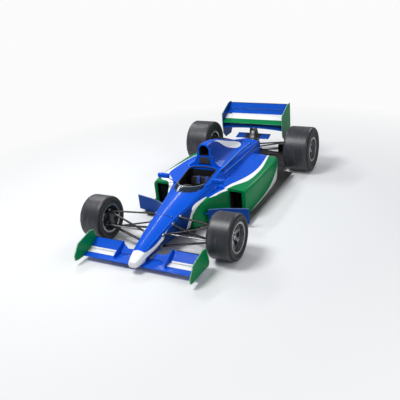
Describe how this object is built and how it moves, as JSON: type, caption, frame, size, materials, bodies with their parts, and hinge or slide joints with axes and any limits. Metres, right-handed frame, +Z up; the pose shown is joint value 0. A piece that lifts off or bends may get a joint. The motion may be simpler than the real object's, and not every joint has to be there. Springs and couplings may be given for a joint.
{
  "type": "open wheel racing car",
  "caption": "Single-seat open wheel racing car with front and rear wings, sidepods, airbox, slick tyres, turning wheels and rack steering.",
  "frame": {"origin": "on the ground under the middle of the car's overall box", "axes": "+Z up, the car faces -Y, its left side is +X"},
  "size_m": [2, 3.95, 0.905],
  "materials": {
    "blue_paint": "gloss",
    "dark_blue_paint": "gloss",
    "green_paint": "gloss",
    "white_paint": "gloss",
    "carbon": "satin",
    "tyre": "matte",
    "rim_metal": "gloss",
    "steel": "satin",
    "cast_metal": "satin",
    "core": "matte",
    "wood": "matte",
    "screen": "clear",
    "fabric": "matte",
    "red_lens": "gloss",
    "webbing": "matte"
  },
  "bodies": {
    "chassis": {"nose_cone": "blue_paint", "monocoque": "blue_paint", "engine_cover": "blue_paint", "headrest": "fabric", "engine": "cast_metal", "gearbox": "carbon", "rain_light": "red_lens", "exhausts": "steel", "floor": "carbon", "diffuser": "carbon", "skid_plank": "wood", "sidepod_left": "blue_paint", "sidepod_right": "blue_paint", "radiators": "core", "front_wing_main": "blue_paint", "front_flaps": "blue_paint", "front_endplates": "green_paint", "rear_wing_main": "green_paint", "rear_wing_flaps": "blue_paint", "rear_wing_lower": "dark_blue_paint", "rear_endplates": "green_paint", "tail_winglet": "blue_paint", "rear_wing_pylon": "carbon", "front_fences": "blue_paint", "rear_dampers": "steel", "bargeboards": "dark_blue_paint", "windscreen": "screen", "mirrors": "blue_paint", "dashboard": "carbon", "seat": "fabric", "harness": "webbing", "front_wishbones": "carbon", "rear_wishbones": "carbon", "driveshafts": "steel", "rear_uprights": "cast_metal"},
    "steering_column": {"steering_wheel": "carbon"},
    "steering_rack": {"track_rods": "steel"},
    "knuckle_left": {"front_upright_left": "cast_metal"},
    "knuckle_right": {"front_upright_right": "cast_metal"},
    "wheel_front_left": {"tyre_front_left": "tyre", "rim_front_left": "rim_metal"},
    "wheel_front_right": {"tyre_front_right": "tyre", "rim_front_right": "rim_metal"},
    "wheel_rear_left": {"tyre_rear_left": "tyre", "rim_rear_left": "rim_metal"},
    "wheel_rear_right": {"tyre_rear_right": "tyre", "rim_rear_right": "rim_metal"}
  },
  "joints": [
    {"name": "steer_left", "type": "hinge", "parent": "chassis", "child": "knuckle_left", "pos_m": [0.726, -1.255, 0.272], "axis": [0, 0, 1], "range_deg": [-15, 15]},
    {"name": "steer_right", "type": "hinge", "parent": "chassis", "child": "knuckle_right", "pos_m": [-0.726, -1.255, 0.272], "axis": [0, 0, 1], "range_deg": [-15, 15]},
    {"name": "rack_travel", "type": "slide", "parent": "chassis", "child": "steering_rack", "axis": [1, 0, 0], "range_m": [-0.0243, 0.0243]},
    {"name": "steering_wheel_turn", "type": "hinge", "parent": "chassis", "child": "steering_column", "pos_m": [0, -0.516, 0.388], "axis": [0, 0.9404, 0.3401], "range_deg": [-121, 121]},
    {"name": "spin_front_left", "type": "hinge", "parent": "knuckle_left", "child": "wheel_front_left", "pos_m": [0.85, -1.255, 0.272], "axis": [1, 0, 0], "continuous": true},
    {"name": "spin_front_right", "type": "hinge", "parent": "knuckle_right", "child": "wheel_front_right", "pos_m": [-0.85, -1.255, 0.272], "axis": [1, 0, 0], "continuous": true},
    {"name": "spin_rear_left", "type": "hinge", "parent": "chassis", "child": "wheel_rear_left", "pos_m": [0.81, 1.545, 0.33], "axis": [1, 0, 0], "continuous": true},
    {"name": "spin_rear_right", "type": "hinge", "parent": "chassis", "child": "wheel_rear_right", "pos_m": [-0.81, 1.545, 0.33], "axis": [1, 0, 0], "continuous": true}
  ],
  "couplings": [
    {"joint": "steer_right", "follows": "steer_left", "ratio": 1},
    {"joint": "rack_travel", "follows": "steer_left", "m_per_rad": 0.092},
    {"joint": "steering_wheel_turn", "follows": "steer_left", "ratio": 8}
  ]
}
